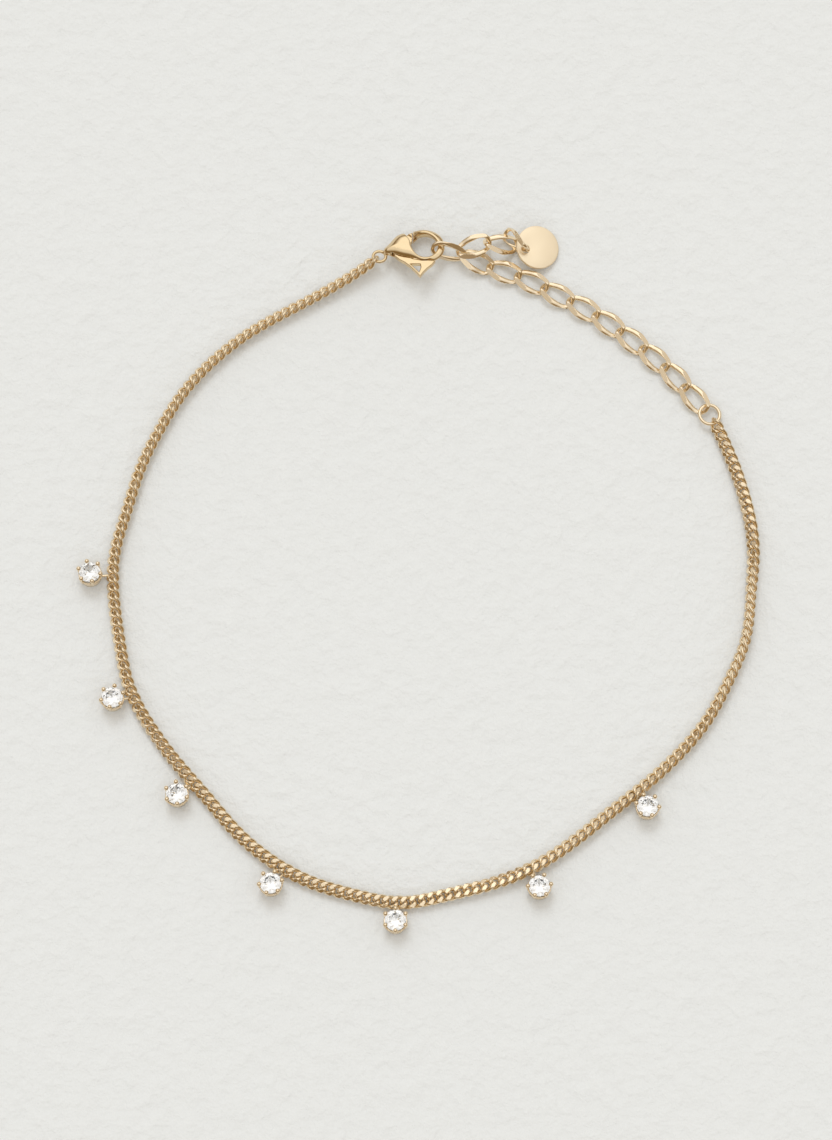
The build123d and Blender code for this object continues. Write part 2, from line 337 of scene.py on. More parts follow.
def settled(distance: Callable[[np.ndarray], np.ndarray], points: np.ndarray, cell: float) -> np.ndarray:
    """Points brought onto the surface where a distance is zero.

    Each point p moves three times to p - f(p) grad f / |grad f|^2, by half a cell at most.

    Args:
        distance: Gives the distance f at an (n, 3) array of points.
        points: Points near the surface.
        cell: The size of a cell.

    Returns:
        The points in their new places.
    """
    nudge = cell * 0.05
    least_slope = 0.05
    for _ in range(3):
        rises = [distance(points + nudge * way) - distance(points - nudge * way) for way in np.eye(3)]
        slope = np.stack(rises, axis=-1) / (2 * nudge)
        step = slope * (distance(points) / np.maximum((slope**2).sum(axis=1), least_slope))[:, None]
        points = points - np.clip(step, -cell / 2, cell / 2)
    return points


def skin(distance: Callable[[np.ndarray], np.ndarray], low: np.ndarray, high: np.ndarray,
         cell: float) -> Surface:
    """The surface where a distance is zero.

    Each cell of a grid that the surface crosses gets one point, the mean of the crossings on its edges.
    The four cells round a crossed edge make a face.

    Args:
        distance: Gives the distance f at an (n, 3) array of points.
        low: The lowest corner of the grid.
        high: The highest corner.
        cell: The size of a cell.

    Returns:
        A closed surface.
    """
    ticks = [np.arange(a, b + cell, cell) for a, b in zip(low, high)]
    grid = np.stack(np.meshgrid(*ticks, indexing="ij"), axis=-1)
    value = distance(grid.reshape(-1, 3)).reshape(grid.shape[:3])
    cells = np.array(value.shape) - 1
    total, hits = np.zeros((*cells, 3)), np.zeros(cells)
    crossed = []
    for axis in range(3):
        here, there = [np.take(value, np.arange(cells[axis]) + step, axis=axis) for step in (0, 1)]
        crossing = (here < 0) != (there < 0)
        share = np.where(crossing, here / np.where(crossing, here - there, 1.0), 0.0)
        place = np.take(grid, np.arange(cells[axis]), axis=axis)
        place = place + share[..., None] * cell * np.eye(3)[axis]
        one, two = (axis + 1) % 3, (axis + 2) % 3
        for first, second in ((0, 0), (0, 1), (1, 0), (1, 1)):
            window = [slice(None)] * 3
            window[one] = slice(first, first + cells[one])
            window[two] = slice(second, second + cells[two])
            total += np.where(crossing[tuple(window)][..., None], place[tuple(window)], 0.0)
            hits += crossing[tuple(window)]
        inner = [slice(None)] * 3
        inner[one], inner[two] = slice(1, -1), slice(1, -1)
        edge = np.argwhere(crossing[tuple(inner)]) + np.eye(3, dtype=int)[[one, two]].sum(axis=0)
        crossed.append((axis, edge, here[tuple(edge.T)] < 0))
    number = np.cumsum((hits > 0).ravel()).reshape(cells) - 1
    points = total[hits > 0] / hits[hits > 0][:, None]
    faces = []
    for axis, edge, leaving in crossed:
        one, two = np.eye(3, dtype=int)[[(axis + 1) % 3, (axis + 2) % 3]]
        around = [number[tuple((edge - back).T)] for back in (one + two, two, 0 * one, one)]
        quad = np.stack(around, axis=-1)
        faces.append(np.where(leaving[:, None], quad, quad[:, ::-1]))
    return Surface(settled(distance, points, cell), [np.concatenate(faces)]).outward()


# ---- reading the frame ------------------------------------------------------------------------


@dataclass(frozen=True)
class Pose:
    """A place and three axes in the row frame.

    Args:
        origin: The place.
        axes: The local x, y and z axes as rows.
    """

    origin: np.ndarray
    axes: np.ndarray

    def carry(self, points: np.ndarray) -> np.ndarray:
        """Local points brought into the row frame."""
        return self.origin + points @ self.axes

    def local(self, points: np.ndarray) -> np.ndarray:
        """Points of the row frame brought into this one."""
        return (points - self.origin) @ self.axes.T


def triangles_of(node: str) -> np.ndarray:
    """The triangles of a node of the frame.

    Args:
        node: The node's name.

    Returns:
        An (n, 3, 3) array of corner points.
    """
    mesh = frame["nodes"][node].data
    points = np.empty(len(mesh.vertices) * 3)
    mesh.vertices.foreach_get("co", points)
    mesh.calc_loop_triangles()
    corners = np.empty(len(mesh.loop_triangles) * 3, np.int32)
    mesh.loop_triangles.foreach_get("vertices", corners)
    return points.reshape(-1, 3)[corners].reshape(-1, 3, 3)


def loose_solids(triangles: np.ndarray) -> np.ndarray:
    """Which separate solid each triangle belongs to.

    Corners at the same place get one number. Each number then takes the lowest number that it shares a
    triangle with, again and again, until nothing changes.

    Args:
        triangles: An (n, 3, 3) array of corner points.

    Returns:
        A solid's number for each triangle, from 0 up.
    """
    grain = 1e-7
    cells = np.round(triangles.reshape(-1, 3) / grain).astype(np.int64)
    keys = cells[:, 0] + cells[:, 1] * 2**21 + cells[:, 2] * 2**42
    corner = np.unique(keys, return_inverse=True)[1].reshape(-1, 3)
    label = np.arange(corner.max() + 1)
    while True:
        lowest = np.repeat(label[corner].min(axis=1), 3)
        shared = label.copy()
        np.minimum.at(shared, corner.ravel(), lowest)
        shared = shared[shared]
        if np.array_equal(shared, label):
            return np.unique(label[corner[:, 0]], return_inverse=True)[1]
        label = shared


def upright_pose(triangles: np.ndarray) -> Pose:
    """The pose of a link, ring or disc, from how its surface is spread.

    The origin is the middle of the surface by area. x is the direction of its greatest spread and z of
    its least, with z upwards and y at right angles to both.

    Args:
        triangles: An (n, 3, 3) array of corner points.

    Returns:
        The pose.
    """
    middles = triangles.mean(axis=1)
    turn = np.cross(triangles[:, 1] - triangles[:, 0], triangles[:, 2] - triangles[:, 0])
    area = np.linalg.norm(turn, axis=1)
    origin = (middles * area[:, None]).sum(axis=0) / area.sum()
    offsets = middles - origin
    spread = (offsets * area[:, None]).T @ offsets
    along = np.linalg.eigh(spread)[1][:, ::-1].T
    z = along[2] * np.sign(along[2][2])
    x = along[0]
    return Pose(origin, np.stack([x, np.cross(z, x), z]))


# ---- finishes ---------------------------------------------------------------------------------


def scaled(color: Color, share: float) -> Color:
    """A colour made paler or darker by a share."""
    return tuple(part * share for part in color)


def node_group(name: str, inputs: dict[str, float], outputs: list[str]) -> bpy.types.ShaderNodeTree:
    """An empty shader node group with named sockets.

    Args:
        name: The group's name.
        inputs: Each input's name and its usual value.
        outputs: The outputs' names; one called Color is a colour and the rest are values.

    Returns:
        The group, with its input and output nodes named "in" and "out".
    """
    group = bpy.data.node_groups.new(name, "ShaderNodeTree")
    for label, value in inputs.items():
        socket = group.interface.new_socket(label, in_out="INPUT", socket_type="NodeSocketFloat")
        socket.default_value = value
    for label in outputs:
        kind = "NodeSocketColor" if label == "Color" else "NodeSocketFloat"
        group.interface.new_socket(label, in_out="OUTPUT", socket_type=kind)
    group.nodes.new("NodeGroupInput").name = "in"
    group.nodes.new("NodeGroupOutput").name = "out"
    return group


def wire(tree: bpy.types.NodeTree, *pairs: tuple[bpy.types.NodeSocket, bpy.types.NodeSocket]) -> None:
    """Links each pair of sockets, from the first to the second."""
    for source, target in pairs:
        tree.links.new(source, target)


def noise(tree: bpy.types.NodeTree, detail: float, rough: float = 0.5) -> bpy.types.ShaderNode:
    """A noise with the given detail and roughness.

    Args:
        tree: The node tree that it belongs to.
        detail: How many finer noises it adds up.
        rough: How strong they are.

    Returns:
        The node.
    """
    made = tree.nodes.new("ShaderNodeTexNoise")
    made.inputs["Detail"].default_value = detail
    made.inputs["Roughness"].default_value = rough
    return made


def blend(tree: bpy.types.NodeTree, first: Color | None, second: Color | None) -> bpy.types.ShaderNode:
    """A mix from one colour to another.

    Args:
        tree: The node tree that it belongs to.
        first: The colour at 0, or nothing where another node gives it.
        second: The colour at 1, or nothing where another node gives it.

    Returns:
        The node.
    """
    made = tree.nodes.new("ShaderNodeMix")
    made.data_type = "RGBA"
    for label, color in (("A", first), ("B", second)):
        if color is not None:
            made.inputs[label].default_value = (*color, 1.0)
    return made


def graded(tree: bpy.types.NodeTree, start: float, end: float, low: float,
           high: float) -> bpy.types.ShaderNode:
    """A map of the values from start to end onto those from low to high.

    Args:
        tree: The node tree that it belongs to.
        start: The value that gives low.
        end: The value that gives high.
        low: The least result.
        high: The greatest result.

    Returns:
        The node.
    """
    made = tree.nodes.new("ShaderNodeMapRange")
    for label, value in (("From Min", start), ("From Max", end), ("To Min", low), ("To Max", high)):
        made.inputs[label].default_value = value
    return made


def relief(tree: bpy.types.NodeTree, depth: float) -> bpy.types.ShaderNode:
    """A bump at full strength.

    Args:
        tree: The node tree that it belongs to.
        depth: The height from its lowest to its highest place, in metres.

    Returns:
        The node.
    """
    made = tree.nodes.new("ShaderNodeBump")
    made.inputs["Strength"].default_value = 1.0
    made.inputs["Distance"].default_value = depth
    return made


def bare_material(name: str) -> tuple[bpy.types.Material, bpy.types.NodeTree, bpy.types.ShaderNode]:
    """A new material with the usual shader.

    Args:
        name: The material's name.

    Returns:
        The material, its node tree and its shader.
    """
    made = bpy.data.materials.new(name)
    made.use_nodes = True
    return made, made.node_tree, made.node_tree.nodes["Principled BSDF"]


def handling_group() -> bpy.types.ShaderNodeTree:
    """The marks of polishing and handling, as a mask and a height.

    Cloudy is a soft noise at the given scale. Scratches is a fine noise stretched along one direction.

    Returns:
        The node group.
    """
    group = node_group("handling", {"Scale": 900.0, "Fine Scale": 9000.0}, ["Cloudy", "Scratches"])
    nodes = group.nodes
    place = nodes.new("ShaderNodeTexCoord")
    cloudy = noise(group, detail=3.0)
    stretch = nodes.new("ShaderNodeMapping")
    stretch.inputs["Scale"].default_value = (1.0, 0.16, 0.4)
    fine = noise(group, detail=2.0)
    wire(group,
         (place.outputs["Object"], cloudy.inputs["Vector"]),
         (nodes["in"].outputs["Scale"], cloudy.inputs["Scale"]),
         (place.outputs["Object"], stretch.inputs["Vector"]),
         (stretch.outputs["Vector"], fine.inputs["Vector"]),
         (nodes["in"].outputs["Fine Scale"], fine.inputs["Scale"]),
         (cloudy.outputs["Fac"], nodes["out"].inputs["Cloudy"]),
         (fine.outputs["Fac"], nodes["out"].inputs["Scratches"]))
    return group


@dataclass(frozen=True)
class GoldFinish:
    """Polished pale gold plating.

    Args:
        name: The material's name.
        color: The colour of its reflection, linear.
        deep_color: The colour where the plating is a little richer.
        smoothest: The least roughness.
        roughest: The greatest roughness.
        cloudy_span: The cloudy mark's values that give the least and the greatest roughness.
        scratch_height: How deep the fine scratches are, in metres.
    """

    name: str
    color: Color = (0.96, 0.82, 0.62)
    deep_color: Color = (0.93, 0.76, 0.51)
    smoothest: float = 0.10
    roughest: float = 0.24
    cloudy_span: tuple[float, float] = (0.3, 0.7)
    scratch_height: float = 0.0015 * MM

    def material(self, handling: bpy.types.ShaderNodeTree) -> bpy.types.Material:
        """The finish as a material.

        Args:
            handling: The node group of handling marks.

        Returns:
            A metal whose colour, roughness and height follow the marks.
        """
        made, tree, shader = bare_material(self.name)
        shader.inputs["Metallic"].default_value = 1.0
        marks = tree.nodes.new("ShaderNodeGroup")
        marks.node_tree = handling
        tint = blend(tree, self.deep_color, self.color)
        rough = graded(tree, *self.cloudy_span, self.smoothest, self.roughest)
        bump = relief(tree, self.scratch_height)
        wire(tree,
             (marks.outputs["Cloudy"], tint.inputs["Factor"]),
             (tint.outputs["Result"], shader.inputs["Base Color"]),
             (marks.outputs["Cloudy"], rough.inputs["Value"]),
             (rough.outputs["Result"], shader.inputs["Roughness"]),
             (marks.outputs["Scratches"], bump.inputs["Height"]),
             (bump.outputs["Normal"], shader.inputs["Normal"]))
        return made


@dataclass(frozen=True)
class StoneFinish:
    """Clear cut stone: a dense glass with a faint uneven haze.

    Args:
        name: The material's name.
        color: The colour that it lets through, linear.
        bending: Its index of refraction.
        haze_scale: How fine the haze is, per metre.
        haze_depth: How much darker the haze makes it at most, as a share.
        roughest: The greatest roughness, where the haze is thickest.
    """

    name: str
    color: Color = (0.99, 0.99, 0.985)
    bending: float = 2.0
    haze_scale: float = 1500.0
    haze_depth: float = 0.03
    roughest: float = 0.03

    def material(self) -> bpy.types.Material:
        """The finish as a material.

        Returns:
            A clear material whose colour and roughness follow the haze.
        """
        made, tree, shader = bare_material(self.name)
        shader.inputs["Metallic"].default_value = 0.0
        shader.inputs["Transmission Weight"].default_value = 1.0
        shader.inputs["IOR"].default_value = self.bending
        place = tree.nodes.new("ShaderNodeTexCoord")
        haze = noise(tree, detail=2.0)
        haze.inputs["Scale"].default_value = self.haze_scale
        tint = blend(tree, scaled(self.color, 1 - self.haze_depth), self.color)
        rough = graded(tree, 0.0, 1.0, 0.0, self.roughest)
        wire(tree,
             (place.outputs["Object"], haze.inputs["Vector"]),
             (haze.outputs["Fac"], tint.inputs["Factor"]),
             (tint.outputs["Result"], shader.inputs["Base Color"]),
             (haze.outputs["Fac"], rough.inputs["Value"]),
             (rough.outputs["Result"], shader.inputs["Roughness"]))
        return made


@dataclass(frozen=True)
class PaperFinish:
    """Off-white paper with a fine uneven tooth.

    Args:
        name: The material's name.
        color: Its mean colour, linear.
        tooth: How high the tooth stands, in metres.
        tooth_scale: How fine the tooth is, per metre.
        shade: How much paler or darker the tooth makes it, as a share.
        smoothest: The least roughness.
        roughest: The greatest roughness.
        shine: How strongly it mirrors, where 0.5 is usual.
    """

    name: str
    color: Color = (0.80, 0.805, 0.79)
    tooth: float = 0.45 * MM
    tooth_scale: float = 480.0
    shade: float = 0.03
    smoothest: float = 0.8
    roughest: float = 1.0
    shine: float = 0.1

    def material(self) -> bpy.types.Material:
        """The finish as a material: one noise gives its tooth, its faint shading and its roughness.

        Returns:
            A matt material.
        """
        made, tree, shader = bare_material(self.name)
        shader.inputs["Specular IOR Level"].default_value = self.shine
        place = tree.nodes.new("ShaderNodeTexCoord")
        grain = noise(tree, detail=6.0, rough=0.6)
        grain.inputs["Scale"].default_value = self.tooth_scale
        tint = blend(tree, scaled(self.color, 1 - self.shade), scaled(self.color, 1 + self.shade))
        rough = graded(tree, 0.0, 1.0, self.smoothest, self.roughest)
        bump = relief(tree, self.tooth)
        wire(tree,
             (place.outputs["Object"], grain.inputs["Vector"]),
             (grain.outputs["Fac"], tint.inputs["Factor"]),
             (tint.outputs["Result"], shader.inputs["Base Color"]),
             (grain.outputs["Fac"], rough.inputs["Value"]),
             (rough.outputs["Result"], shader.inputs["Roughness"]),
             (grain.outputs["Fac"], bump.inputs["Height"]),
             (bump.outputs["Normal"], shader.inputs["Normal"]))
        return made


@dataclass
class Finishes:
    """Every material of the anklet, made once.

    Args:
        chain: The small links' gold.
        extender: The larger links' and the end ring's gold.
        setting: The cups' gold.
        clasp: The clasp's gold, which is smoother, and darker than the other gold: painted shade, a
            darker copy of the same gold.
        tag: The tag's gold, which is satin.
        stone: The stones' clear material.
    """

    chain: bpy.types.Material
    extender: bpy.types.Material
    setting: bpy.types.Material
    clasp: bpy.types.Material
    tag: bpy.types.Material
    stone: bpy.types.Material

    @staticmethod
    def made() -> "Finishes":
        """The finishes, with one shared group of handling marks.

        Returns:
            The finishes.
        """
        handling = handling_group()
        return Finishes(
            chain=GoldFinish("chain gold").material(handling),
            extender=GoldFinish("extender gold").material(handling),
            setting=GoldFinish("setting gold").material(handling),
            # The clasp's colours are a darker copy of the same gold: painted shade, so that the clasp
            # looks darker.
            clasp=GoldFinish("clasp gold painted darker", color=(0.81, 0.65, 0.42), deep_color=(0.77, 0.59, 0.35),
                             smoothest=0.08, roughest=0.18).material(handling),
            tag=GoldFinish("tag gold", color=(1.0, 0.85, 0.62), deep_color=(0.99, 0.84, 0.61),
                           smoothest=0.34, roughest=0.42).material(handling),
            stone=StoneFinish("clear stone").material(),
        )


# ---- making pieces ----------------------------------------------------------------------------


def piece(name: str, surface: Surface, material: bpy.types.Material, body: Body, slot: Slot,
          *nodes: str) -> bpy.types.Object:
    """Makes a piece of the anklet from a surface and puts it in place of nodes of the frame.

    Args:
        name: The piece's name.
        surface: Its surface in the row frame.
        material: Its finish.
        body: The body that it rides on.
        slot: The record's slot that the finish belongs to; not used.
        nodes: The nodes that it stands for.

    Returns:
        The new object, at the origin.
    """
    mesh = bpy.data.meshes.new(name)
    corners = np.concatenate([block.ravel() for block in surface.faces]).astype(np.int32)
    counts = [np.full(len(block), block.shape[1]) for block in surface.faces]
    totals = np.concatenate(counts).astype(np.int32)
    mesh.vertices.add(len(surface.points))
    mesh.vertices.foreach_set("co", surface.points.astype(np.float32).ravel())
    mesh.loops.add(len(corners))
    mesh.loops.foreach_set("vertex_index", corners)
    mesh.polygons.add(len(totals))
    mesh.polygons.foreach_set("loop_start", (np.cumsum(totals) - totals).astype(np.int32))
    mesh.polygons.foreach_set("use_smooth", ~np.concatenate(surface.crisp))
    mesh.update(calc_edges=True)
    mesh.validate()
    mesh.materials.append(material)
    made = bpy.data.objects.new(name, mesh)
    bpy.context.scene.collection.objects.link(made)
    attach(made, body.value)
    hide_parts(*nodes)
    LOG.info("%s: %d faces, for %s", name, len(totals), ", ".join(nodes))
    return made


@dataclass(frozen=True)
class LinkShape:
    """An oval link of round wire, twisted out of the flat and ground at its four corners.

    Args:
        wire: The wire's diameter.
        reach: From the middle to the end wires.
        half: From the middle to the side wires.
        rise: How far each corner stands out of the flat; less than zero for a twist the other way.
        fullness: The oval's power: 2 is an ellipse, and more fills its corners.
        tilt: How far each ground face leans outwards, in radians.
        flat: How far from the middle the ground faces lie, along the way that they face.
        spread: How much wider the wire is along the link's sides than at its ends, as a share.
        steps: How many steps the oval has.
        sides: How many sides the wire has.
    """

    wire: float
    reach: float
    half: float
    rise: float
    fullness: float
    tilt: float
    flat: float
    spread: float
    steps: int
    sides: int

    def surface(self) -> Surface:
        """The wire around its middle line, cut off at the ground faces.

        The middle line is x = reach c^(2/n), y = half s^(2/n), z = rise sin 2t, where c and s are cos t
        and sin t, each power keeps its sign, and n is the fullness. Point (i, j) is line point i plus
        the wire's radius times (side cos a_j (1 + spread sin^2 t) + up sin a_j). A point further out
        than the ground faces, where |z| cos tilt + |y| sin tilt is more than flat, is brought back.

        Returns:
            The link about its own middle, with x along it and z out of its flat.
        """
        turn = (np.arange(self.steps) + 0.5) / self.steps * math.tau
        along, across = [np.sign(wave) * np.abs(wave) ** (2 / self.fullness)
                         for wave in (np.cos(turn), np.sin(turn))]
        line = np.stack([self.reach * along, self.half * across, self.rise * np.sin(2 * turn)], axis=-1)
        ahead = unit(np.roll(line, -1, axis=0) - np.roll(line, 1, axis=0))
        up = unit(np.array([0.0, 0.0, 1.0]) - ahead * ahead[:, 2:])
        side = np.cross(ahead, up) * (1 + self.spread * np.sin(turn) ** 2)[:, None]
        angle = ((np.arange(self.sides) + 0.5) / self.sides * math.tau)[None, :, None]
        ring = side[:, None] * np.cos(angle) + up[:, None] * np.sin(angle)
        points = (line[:, None] + ring * self.wire / 2).reshape(-1, 3)
        facing = np.sign(points) * [0.0, math.sin(self.tilt), math.cos(self.tilt)]
        beyond = (points * facing).sum(axis=1) - self.flat
        points -= facing * np.maximum(beyond, 0)[:, None]
        faces = grid_faces(self.steps, self.sides, True, True)
        ground = (beyond >= -HAIR)[faces].all(axis=1)
        return Surface(points, [faces], [ground]).outward()


@dataclass
class CurbChain:
    """The small chain: one link shape at every place where the frame has a link.

    Args:
        shape: The shape of every link.
        node: The node of the frame that holds the links.
        poses: Each link's pose, once they are read.
    """

    shape: LinkShape = LinkShape(
        wire=0.44 * MM, reach=0.785 * MM, half=0.54 * MM, rise=-0.40 * MM, fullness=2.1,
        tilt=math.radians(8.0), flat=0.50 * MM, spread=0.14, steps=28, sides=12)
    node: str = "curb_chain"
    poses: list[Pose] = field(default_factory=list)

    def read(self) -> None:
        """Finds the pose of every link in the frame."""
        triangles = triangles_of(self.node)
        solid = loose_solids(triangles)
        order = np.argsort(solid, kind="stable")
        cuts = np.cumsum(np.bincount(solid))[:-1]
        self.poses = [upright_pose(block) for block in np.split(triangles[order], cuts)]

    def build(self, finishes: Finishes) -> None:
        """Makes the chain as one piece.

        Args:
            finishes: The materials.
        """
        link = self.shape.surface()
        links = joined([link.moved(pose) for pose in self.poses])
        piece("chain_links", links, finishes.chain, Body.ANKLET, Slot.CHAIN, self.node)


@dataclass
class Extender:
    """The larger links, the link that holds the tag, and the round end ring.

    Args:
        shape: The shape of the larger links and of the tag's link.
        clasped_rise: The rise of the link in the clasp, which is twisted less.
        clasped_flat: How far from its middle that link's ground faces lie.
        ring_radius: The end ring's radius, to the middle of its wire.
        ring_wire: Its wire's diameter.
        ring_turns: How many steps the ring has.
        ring_sides: How many sides its wire has.
    """

    shape: LinkShape = LinkShape(
        wire=0.45 * MM, reach=2.02 * MM, half=1.04 * MM, rise=0.44 * MM, fullness=2.3,
        tilt=math.radians(26.0), flat=0.71 * MM, spread=0.60, steps=72, sides=20)
    clasped_rise: float = 0.15 * MM
    clasped_flat: float = 0.62 * MM
    ring_radius: float = 1.22 * MM
    ring_wire: float = 0.42 * MM
    ring_turns: int = 64
    ring_sides: int = 16

    def build(self, finishes: Finishes) -> None:
        """Makes each link and the ring as pieces of their own.

        Args:
            finishes: The materials.
        """
        clasped = replace(self.shape, rise=self.clasped_rise, flat=self.clasped_flat)
        nodes = sorted(name for name in frame["nodes"] if name.startswith("extender_link"))
        for node in nodes + ["tag_link"]:
            shape = clasped if node == nodes[0] else self.shape
            surface = shape.surface().moved(upright_pose(triangles_of(node)))
            piece(f"{node}_polished", surface, finishes.extender, Body.ANKLET, Slot.EXTENDER, node)
        ring = torus(self.ring_radius, self.ring_wire, self.ring_turns, self.ring_sides)
        piece("end_ring_polished", ring.moved(upright_pose(triangles_of("end_ring"))), finishes.extender,
              Body.ANKLET, Slot.EXTENDER, "end_ring")


@dataclass
class StoneSetting:
    """One stone in its cup of six claws, soldered to a link of the chain.

    Heights are above the cup's foot.

    Args:
        number: Which setting of the frame it is.
        girdle_radius: The stone's greatest radius.
        girdle_low: The girdle's lower edge.
        girdle_high: The girdle's upper edge.
        table_high: The height of the table.
        table_radius: From the axis to the table's corners.
        crown_middle: From the axis to the corners where stars and kites meet.
        culet_low: The height of the stone's lowest point.
        pavilion_middle: From the axis to the corners in the middle of the pavilion.
        cup_foot: The cup's outer radius at its foot.
        cup_lip: Its outer radius at its lip.
        cup_high: Its height.
        cup_wall: The thickness of its wall.
        cup_soft: The size of its rounded edges.
        cup_curve: Shares of the way from foot to lip, outwards and upwards, that bend its side.
        claws: How many claws there are.
        claw_radius: The middle radius of a claw's wire.
        claw_shares: Shares of the way up a claw.
        claw_line: How far from the axis the claw's middle lies at each of them.
        claw_low: The height where a claw starts.
        claw_high: The height of the middle of its bead.
        claw_taper: Its wire's thickness at its foot and its tip, as shares of claw_radius.
        bead_radius: The radius of its bead.
        neck_wire: The neck's diameter.
        neck_aim: The height above the paper that the neck aims for.
        neck_flare: How much thicker the neck is at its ends, as a share.
        turns: How many steps the cup has.
    """

    number: int
    girdle_radius: float = 1.26 * MM
    girdle_low: float = 1.52 * MM
    girdle_high: float = 1.60 * MM
    table_high: float = 1.98 * MM
    table_radius: float = 0.76 * MM
    crown_middle: float = 1.01 * MM
    culet_low: float = 0.55 * MM
    pavilion_middle: float = 0.36 * MM
    cup_foot: float = 1.24 * MM
    cup_lip: float = 1.37 * MM
    cup_high: float = 1.05 * MM
    cup_wall: float = 0.25 * MM
    cup_soft: float = 0.06 * MM
    cup_curve: FlatPoints = ((0.04, 0.30), (0.45, 0.65))
    claws: int = 6
    claw_radius: float = 0.19 * MM
    claw_shares: tuple[float, ...] = (0.0, 0.55, 0.85, 1.0)
    claw_line: tuple[float, ...] = (1.18 * MM, 1.35 * MM, 1.39 * MM, 1.33 * MM)
    claw_low: float = 0.40 * MM
    claw_high: float = 1.84 * MM
    claw_taper: tuple[float, float] = (1.05, 0.90)
    bead_radius: float = 0.27 * MM
    neck_wire: float = 0.30 * MM
    neck_aim: float = 0.45 * MM
    neck_flare: float = 0.35
    turns: int = 64

    def pose(self) -> Pose:
        """The cup's pose: z along the stone's axis, x towards a claw, the origin at the foot.

        The axis is the direction of the stone's spread that is nearest to upright. The claws' bearing
        is the phase of the sixth harmonic of the metal's points above the girdle and near the stone.

        Returns:
            The pose.
        """
        near_cup = self.cup_lip * 1.25
        stone = triangles_of(f"stone_{self.number}")
        along = upright_pose(stone)
        axis = along.axes[np.argmax(np.abs(along.axes[:, 2]))]
        axis = axis * np.sign(axis[2])
        top = (stone.reshape(-1, 3) @ axis).max()
        origin = along.origin + axis * (top - self.table_high - along.origin @ axis)
        x = unit(np.cross([0.0, 1.0, 0.0], axis))
        level = Pose(origin, np.stack([x, np.cross(axis, x), axis]))
        metal = level.local(triangles_of(f"setting_{self.number}").reshape(-1, 3))
        near = np.hypot(metal[:, 0], metal[:, 1]) < near_cup
        tips = metal[near & (metal[:, 2] > self.girdle_high)]
        bearing = np.arctan2(tips[:, 1], tips[:, 0])
        turn = np.angle(np.exp(1j * self.claws * bearing).sum()) / self.claws
        c, s = math.cos(turn), math.sin(turn)
        spin = np.array([(c, s, 0.0), (-s, c, 0.0), (0.0, 0.0, 1.0)])
        return Pose(origin, spin @ level.axes)

    def stone(self) -> Surface:
        """A round brilliant: table, stars, kites, two rows of girdle facets and the pavilion.

        A kite's plane runs from a table corner to the girdle below it, so a point beside it at the
        radius r and half a step round has the height
        girdle + (table - girdle) (R - r cos 22.5) / (R - table radius). The pavilion is the same,
        from the girdle to the culet.

        Returns:
            The stone in the cup's frame, with every face shaded flat.
        """
        eighth = np.arange(8) * math.tau / 8
        half_step = math.tau / 16
        lean = math.cos(half_step)
        big = self.girdle_radius
        slope = (self.table_high - self.girdle_high) / (big - self.table_radius)
        star_high = self.girdle_high + slope * (big - self.crown_middle * lean)
        depth = self.girdle_low - self.culet_low
        low_high = self.culet_low + depth * self.pavilion_middle * lean / big

        def circle(radius: float, height: float, angles: np.ndarray) -> np.ndarray:
            """Points of one radius and height at the given angles."""
            flat = (radius * np.cos(angles), radius * np.sin(angles), height)
            return np.stack(np.broadcast_arrays(*flat), axis=-1)

        sixteenth = np.arange(16) * half_step
        points = np.concatenate([
            circle(self.table_radius, self.table_high, eighth),
            circle(self.crown_middle, star_high, eighth + half_step),
            circle(big, self.girdle_high, sixteenth),
            circle(big, self.girdle_low, sixteenth),
            circle(self.pavilion_middle, low_high, eighth + half_step),
            np.array([(0.0, 0.0, self.culet_low)]),
        ])
        table, star, upper, lower, low, culet = 0, 8, 16, 32, 48, 56
        k = np.arange(8)
        before, after = (k - 1) % 8, (k + 1) % 8
        main, side, next_main = 2 * k, 2 * k + 1, (2 * k + 2) % 16
        kites = np.stack([table + k, star + before, upper + main, star + k], axis=-1)
        stars = np.stack([table + k, star + k, table + after], axis=-1)
        halves = np.concatenate([
            np.stack([star + k, upper + main, upper + side], axis=-1),
            np.stack([star + k, upper + side, upper + next_main], axis=-1),
            np.stack([low + k, lower + side, lower + main], axis=-1),
            np.stack([low + k, lower + next_main, lower + side], axis=-1),
        ])
        ring = np.arange(16)
        onward = (ring + 1) % 16
        girdle = np.stack([upper + ring, lower + ring, lower + onward, upper + onward], axis=-1)
        pavilion = np.stack([culet + 0 * k, low + k, lower + main, low + before], axis=-1)
        faces = [np.concatenate([stars, halves]), np.concatenate([kites, girdle, pavilion]),
                 np.arange(8)[None, :] + table]
        return Surface(points, faces, [np.ones(len(block), bool) for block in faces]).outward()

    def cup(self) -> Surface:
        """The cup: a wall with a rounded lip and foot, turned about the axis.

        Returns:
            The cup in its own frame.
        """
        foot, lip, high, soft = self.cup_foot, self.cup_lip, self.cup_high, self.cup_soft
        inner_lip = lip - self.cup_wall
        curve = [(foot + (lip - foot) * out, high * up) for out, up in self.cup_curve]
        profile = np.array([
            (foot - self.cup_wall, 0.0), (foot - soft, 0.0), (foot, soft), *curve,
            (lip, high - soft), (lip - soft, high), (inner_lip + soft, high), (inner_lip, high - soft),
        ])
        return lathe(profile, self.turns)

    def claw(self, bearing: float) -> Surface:
        """One claw: a rod up the outside of the cup that leans over the stone and ends in a bead.

        Args:
            bearing: Where it stands round the axis.

        Returns:
            The claw in the cup's frame.
        """
        share = np.linspace(0, 1, 9)
        radius = np.interp(share, self.claw_shares, self.claw_line)
        height = self.claw_low + (self.claw_high - self.claw_low) * share
        centres = np.stack([radius * math.cos(bearing), radius * math.sin(bearing), height], axis=-1)
        thick = self.claw_radius * np.interp(share, (0, 1), self.claw_taper)
        return joined([rod(centres, thick, 10), ball(centres[-1], self.bead_radius)])

